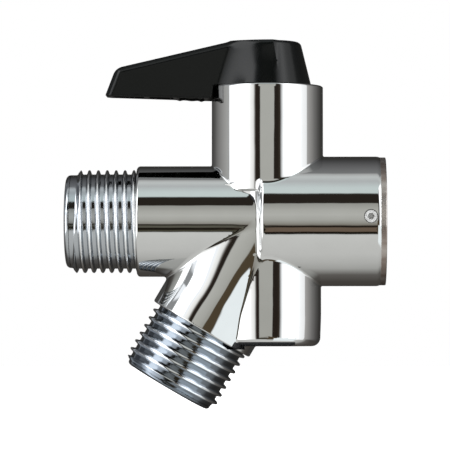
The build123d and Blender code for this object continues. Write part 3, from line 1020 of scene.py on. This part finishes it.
def build_world():
    w = bpy.data.worlds.new("studio")
    bpy.context.scene.world = w
    w.use_nodes = True
    nt = w.node_tree
    nt.nodes.clear()
    N = Nodes(nt)
    tc = nt.nodes.new("ShaderNodeTexCoord")
    sep = nt.nodes.new("ShaderNodeSeparateXYZ")
    nt.links.new(tc.outputs["Generated"], sep.inputs[0])
    x, y, z = sep.outputs
    deg = 180 / math.pi
    back = N.m("MULTIPLY", y, -1.0)
    az = N.m("MULTIPLY", N.m("ARCTAN2", x, back), deg)
    el = N.m("MULTIPLY", N.m("ARCSINE", z), deg)
    # angle in the vertical plane, from the camera side, up positive
    va = N.m("MULTIPLY", N.m("ARCTAN2", z, back), deg)
    # edges near the middle slant: they lie higher on the left
    left = N.step(az, -0.5, -1.4)
    right = N.step(az, -1.4, -0.5)
    vs = N.m("SUBTRACT", va, N.m("MULTIPLY", left, 2.2))
    vt = N.m("SUBTRACT", va, N.m("MULTIPLY", left, 2.4))

    # table below, ceiling light above, both falling off to the back of the room
    low = scale_ramp(N, vt, [(-180, (0.045, 0.040, 0.034)), (-136, (0.085, 0.078, 0.070)),
                             (-112, (0.165, 0.155, 0.145)), (-103, (0.34, 0.335, 0.32)), (-94, (0.54, 0.54, 0.52)),
                             (-80, (0.66, 0.66, 0.64)), (-62, (0.77, 0.77, 0.75)), (-25.6, (0.84, 0.845, 0.82)),
                             (-24.0, (0.012, 0.010, 0.006)), (0, (0.03, 0.022, 0.017))])
    high = scale_ramp(N, va, [(0, (0.03, 0.023, 0.018)), (47.6, (0.03, 0.025, 0.02)), (49.4, (0.84, 0.95, 0.94)),
                              (60, (0.82, 0.92, 0.92)), (74, (0.66, 0.69, 0.70)), (84, (0.78, 0.82, 0.82)),
                              (90, (0.62, 0.63, 0.63)), (94, (0.27, 0.275, 0.28)), (112, (0.18, 0.18, 0.185)),
                              (131, (0.09, 0.09, 0.092)), (145, (0.045, 0.044, 0.042)), (180, (0.04, 0.037, 0.033))])
    col = N.mixc(N.step(z, -0.02, 0.02), low, high)
    mid = N.mul(N.step(az, -22.0, -14.0), N.step(az, 22.0, 14.0))
    col = N.mixc(N.mul(mid, right, N.step(va, -21.0, -19.4), N.step(va, -11.6, -13.4)), col, (0.20, 0.145, 0.105))
    col = N.mixc(N.mul(mid, left, N.step(va, -14.6, -13.0), N.step(va, -8.6, -10.2)), col, (0.140, 0.135, 0.105))
    col = N.mixc(N.mul(mid, left, N.step(va, -21.6, -20.6), N.step(va, -17.6, -18.8)), col, (0.085, 0.080, 0.055))
    # wall behind the camera
    grey = scale_ramp(N, va, [(-10, (0.24, 0.21, 0.17)), (-5, (0.42, 0.41, 0.37)), (1, (0.58, 0.58, 0.54)),
                              (10, (0.67, 0.67, 0.63)), (18, (0.62, 0.62, 0.58)), (31, (0.43, 0.43, 0.40))])
    tuck = N.m("MULTIPLY", N.mul(N.step(el, 1.0, 3.0), N.step(el, 7.0, 5.5)), 3.4)
    azl = N.m("SUBTRACT", az, tuck)
    azr = N.m("SUBTRACT", az, N.m("MULTIPLY", N.m("SUBTRACT", el, 3.5), 0.7))
    wall = N.mul(N.step(azl, -18.2, -15.9), N.step(azr, 14.2, 12.4), N.step(az, 19.0, 16.0),
                 N.step(va, 31.0, 29.2), N.step(vs, -10.2, -7.8))
    col = N.mixc(wall, col, grey)
    # side lights
    side = scale_ramp(N, az, [(-160, (0.055, 0.054, 0.052)), (-137, (0.13, 0.128, 0.124)), (-113, (0.33, 0.325, 0.32)),
                              (-89, (0.54, 0.54, 0.53)), (-84.2, (0.44, 0.44, 0.44)), (-82.6, (1.42, 1.43, 1.45)),
                              (-74, (2.2, 2.22, 2.26)), (-62, (4.2, 4.25, 4.3)), (-50, (2.6, 2.62, 2.66)),
                              (-33, (1.46, 1.46, 1.45)), (-27, (1.2, 1.2, 1.18)), (-23.5, (0.06, 0.045, 0.034)),
                              (0, (0.04, 0.03, 0.022)), (25.5, (0.045, 0.035, 0.026)), (30.5, (1.3, 1.32, 1.34)),
                              (40, (2.6, 2.63, 2.7)), (50, (4.0, 4.05, 4.1)), (64, (2.0, 2.02, 2.05)),
                              (74, (1.5, 1.52, 1.55)), (87, (1.3, 1.31, 1.33)), (88.6, (0.57, 0.555, 0.545)),
                              (98, (0.42, 0.41, 0.40)), (112, (0.24, 0.235, 0.23)), (128, (0.12, 0.117, 0.113)),
                              (146, (0.05, 0.048, 0.045))])
    aaz = N.m("ABSOLUTE", az)
    front = N.mul(N.step(aaz, 21.5, 23.0), N.step(aaz, 92.0, 86.0), N.step(el, 60.0, 52.0), N.step(el, -25.0, -19.0))
    rear = N.mul(N.step(aaz, 84.0, 90.0), N.step(el, 26.0, 12.0), N.step(el, -24.0, -12.0))
    col = N.mixc(N.m("MAXIMUM", front, rear), col, side)
    # upper left wash
    wash = N.mul(N.step(az, -31.0, -36.0), N.step(az, -140.0, -131.0), N.step(el, 8.0, 14.0), N.step(el, 50.0, 38.0))
    col = N.mixc(wash, col, (1.39, 1.44, 1.51))
    dusk = N.mul(N.step(az, -78.0, -84.0), N.step(az, -140.0, -131.0), N.step(el, 10.0, 16.0), N.step(el, 50.0, 42.0))
    col = N.mixc(dusk, col, (0.15, 0.155, 0.165))
    bar = N.mul(N.step(az, -36.0, -41.0), N.step(az, -70.0, -62.0), N.step(el, 12.0, 20.0), N.step(el, 52.0, 46.0))
    col = N.mixc(bar, col, (3.6, 3.65, 3.7))
    # the lever's hub sees a narrower light than the branch, between two dark cards
    dim = N.mul(N.step(az, -64.0, -69.0), N.step(az, -110.0, -104.0), N.step(el, 20.0, 22.0), N.step(el, 31.5, 30.0))
    col = N.mixc(dim, col, (0.38, 0.39, 0.40))
    dim = N.mul(N.step(az, -37.5, -31.5), N.step(az, -17.0, -20.0), N.step(el, 24.5, 26.0), N.step(el, 45.0, 40.0))
    col = N.mixc(dim, col, (0.05, 0.05, 0.055))
    # warm wood beside the wall's foot, and a low bright edge on its right
    wood = N.mul(N.step(az, 1.9, 3.2), N.step(az, 24.0, 20.0), N.step(el, -0.7, -1.6), N.step(vt, -24.5, -23.0))
    col = N.mixc(wood, col, (0.105, 0.078, 0.046))
    card = N.mul(N.step(az, 13.0, 15.5), N.step(az, 70.0, 64.0), N.step(el, -7.5, -9.5), N.step(el, -44.0, -36.0))
    col = N.mixc(card, col, (1.26, 1.34, 1.37))
    bg = nt.nodes.new("ShaderNodeBackground")
    nt.links.new(col, bg.inputs["Color"])
    white = nt.nodes.new("ShaderNodeBackground")
    white.inputs["Color"].default_value = (1.0, 1.0, 1.0, 1.0)
    white.inputs["Strength"].default_value = 1.0
    lp = nt.nodes.new("ShaderNodeLightPath")
    mx = nt.nodes.new("ShaderNodeMixShader")
    nt.links.new(lp.outputs["Is Camera Ray"], mx.inputs[0])
    nt.links.new(bg.outputs[0], mx.inputs[1])
    nt.links.new(white.outputs[0], mx.inputs[2])
    out = nt.nodes.new("ShaderNodeOutputWorld")
    nt.links.new(mx.outputs[0], out.inputs["Surface"])


def build_floor():
    me = bpy.data.meshes.new("floor")
    s = 2.5
    z = -0.060
    me.from_pydata([(-s, -s, z), (s, -s, z), (s, s, z), (-s, s, z)], [], [(0, 1, 2, 3)])
    ob = bpy.data.objects.new("floor", me)
    bpy.context.scene.collection.objects.link(ob)
    m, nt, b = new_material("pale_floor")
    b.inputs["Base Color"].default_value = (0.9, 0.9, 0.9, 1)
    b.inputs["Roughness"].default_value = 0.9
    b.inputs["Emission Color"].default_value = (1, 1, 1, 1)
    b.inputs["Emission Strength"].default_value = 0.9
    ob.data.materials.append(m)
    ob.visible_glossy = False
    ob.visible_diffuse = False
    return ob


def build_shade():
    """A dark card under the foot, seen only in its lower edge: painted shade standing in for the shade under the foot.
    """
    k = np.radians(np.linspace(-160.0, -52.0, 25))
    v = np.concatenate([np.stack([r * np.cos(k), r * np.sin(k), np.full(25, -26.0)], 1) for r in (7.8, 11.3)])
    me = bpy.data.meshes.new("shade_card")
    me.from_pydata([tuple(p) for p in place(v)], [], [(i, i + 1, i + 26, i + 25) for i in range(24)])
    ob = bpy.data.objects.new("shade_card", me)
    bpy.context.scene.collection.objects.link(ob)
    m, nt, b = new_material("painted_shade_card")
    n = noise(nt, 60.0)
    nt.links.new(mix_color(nt, n.outputs["Fac"], (0.03, 0.03, 0.032), (0.05, 0.05, 0.052)), b.inputs["Base Color"])
    b.inputs["Roughness"].default_value = 0.9
    ob.data.materials.append(m)
    ob.visible_camera = False
    ob.visible_diffuse = False
    ob.visible_shadow = False


def build_camera():
    from mathutils import Vector
    cam = bpy.data.cameras.new("camera")
    ob = bpy.data.objects.new("camera", cam)
    bpy.context.scene.collection.objects.link(ob)
    cam.sensor_width = 36.0
    cam.lens = 36.0 * (0.620 / 0.0002034) / 450.0
    cam.clip_end = 20.0
    loc = Vector((-0.0184, -0.620, -0.02207))
    aim = Vector((-0.03263, 0.0, -0.00071))
    ob.location = loc
    ob.rotation_euler = (aim - loc).to_track_quat("-Z", "Y").to_euler()
    bpy.context.scene.camera = ob
    bpy.context.scene.view_settings.view_transform = "Standard"
    bpy.context.scene.view_settings.look = "None"


# assembly -------------------------------------------------------------------
chrome = chrome_material()
# Thread colours: the darker root colour is painted shade and the lighter crest colour painted highlight; the branch's
# roots are painted darker still.
threads_painted_light = thread_material("chrome_threads_painted_light", (0.47, 0.495, 0.52), (0.86, 0.87, 0.88))
branch_threads_painted_light = thread_material("chrome_threads_painted_shade", (0.18, 0.205, 0.235), (0.78, 0.81, 0.84))
plastic = plastic_material()
brass = metal_material("turned_brass", (0.60, 0.42, 0.19), (0.70, 0.51, 0.25), 0.18, 0.32, 500.0, (1, 1, 12))
steel = metal_material("bright_steel", (0.52, 0.52, 0.51), (0.66, 0.66, 0.65), 0.14, 0.28)
# The mouth's rim: warm, dull plating, with painted reflections as darker patches.
worn_and_painted_reflection = worn_and_painted_reflection_material()
# The set screw hole's wall is near black: painted shade in the recess.
painted_shade_hole = rubber_material("hole_painted_shade", (0.015, 0.014, 0.013), (0.03, 0.028, 0.026))
socket_screw = metal_material("pale_steel", (0.40, 0.40, 0.40), (1.0, 1.0, 0.99), 0.35, 0.55, 1100.0, None, 0.9, 0.0002)
socket_screw.node_tree.nodes["Principled BSDF"].inputs["Metallic"].default_value = 0.35
rubber = rubber_material("black_rubber", (0.012, 0.012, 0.012), (0.022, 0.022, 0.022))
ptfe = rubber_material("white_ptfe", (0.74, 0.74, 0.71), (0.84, 0.84, 0.82), 0.35, 0.5)

slots = {"chrome_plate": chrome, "black_plastic": plastic, "turned_brass": brass, "black_rubber": rubber,
         "bright_steel": steel, "white_ptfe": ptfe}
for s in frame["record"]["subparts"]:
    ob = frame["nodes"].get(s["node"])
    if ob is not None and s["material_slot"] in slots:
        for k in range(max(1, len(ob.material_slots))):
            if ob.material_slots:
                ob.material_slots[k].material = slots[s["material_slot"]]

for k in frame["nodes"]["inlet_set_screw"].material_slots:
    k.material = socket_screw

PSI = 2 * np.pi * np.arange(168) / 168
arm_port = np.sqrt(8.25 ** 2 - (4.5 * np.sin(PSI)) ** 2)
bra_port = (np.sqrt(8.25 ** 2 - (3.0 * np.sin(PSI)) ** 2) + BO[0] - BM[0] * 3.0 * np.cos(PSI)) / -BD[0]
arm_thread, arm_bore = build_outlet("valve_body_straight_outlet", ARM, 32.60, 26.35,
                                    lambda k: 39.30 - 0.60 * np.sin(k) - 0.46 * np.cos(k),
                                    40.0, 40.9, 8.55, 12.5, 4.5, arm_port, 0.0)
bra_thread, bra_bore = build_outlet("valve_body_branch_outlet", BRA, 30.48, 25.25,
                                    lambda k: 38.05 + 0.10 * np.cos(k),
                                    38.25, 38.9, 8.8, 24.0, 3.0, bra_port, 0.0, 0.78)
casting_ob, rim_ob = build_casting()
body_pieces = [
    (casting_ob, chrome, "chrome_plate"),
    (rim_ob, worn_and_painted_reflection, "chrome_plate"),
    (arm_thread, threads_painted_light, "chrome_plate"),
    (bra_thread, branch_threads_painted_light, "chrome_plate"),
    (build_hole(), painted_shade_hole, "chrome_plate"),
    (build_socket(), threads_painted_light, "chrome_plate"),
    (arm_bore, brass, "turned_brass"),
    (bra_bore, brass, "turned_brass"),
    (build_chamber(), brass, "turned_brass"),
]
for ob, m, s in body_pieces:
    assign(ob, m)
    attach(ob, "body")
    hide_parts("valve_body")

lever = build_lever()
assign(lever, plastic)
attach(lever, "rotor")
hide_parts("lever")

build_world()
build_floor()
build_shade()
build_camera()
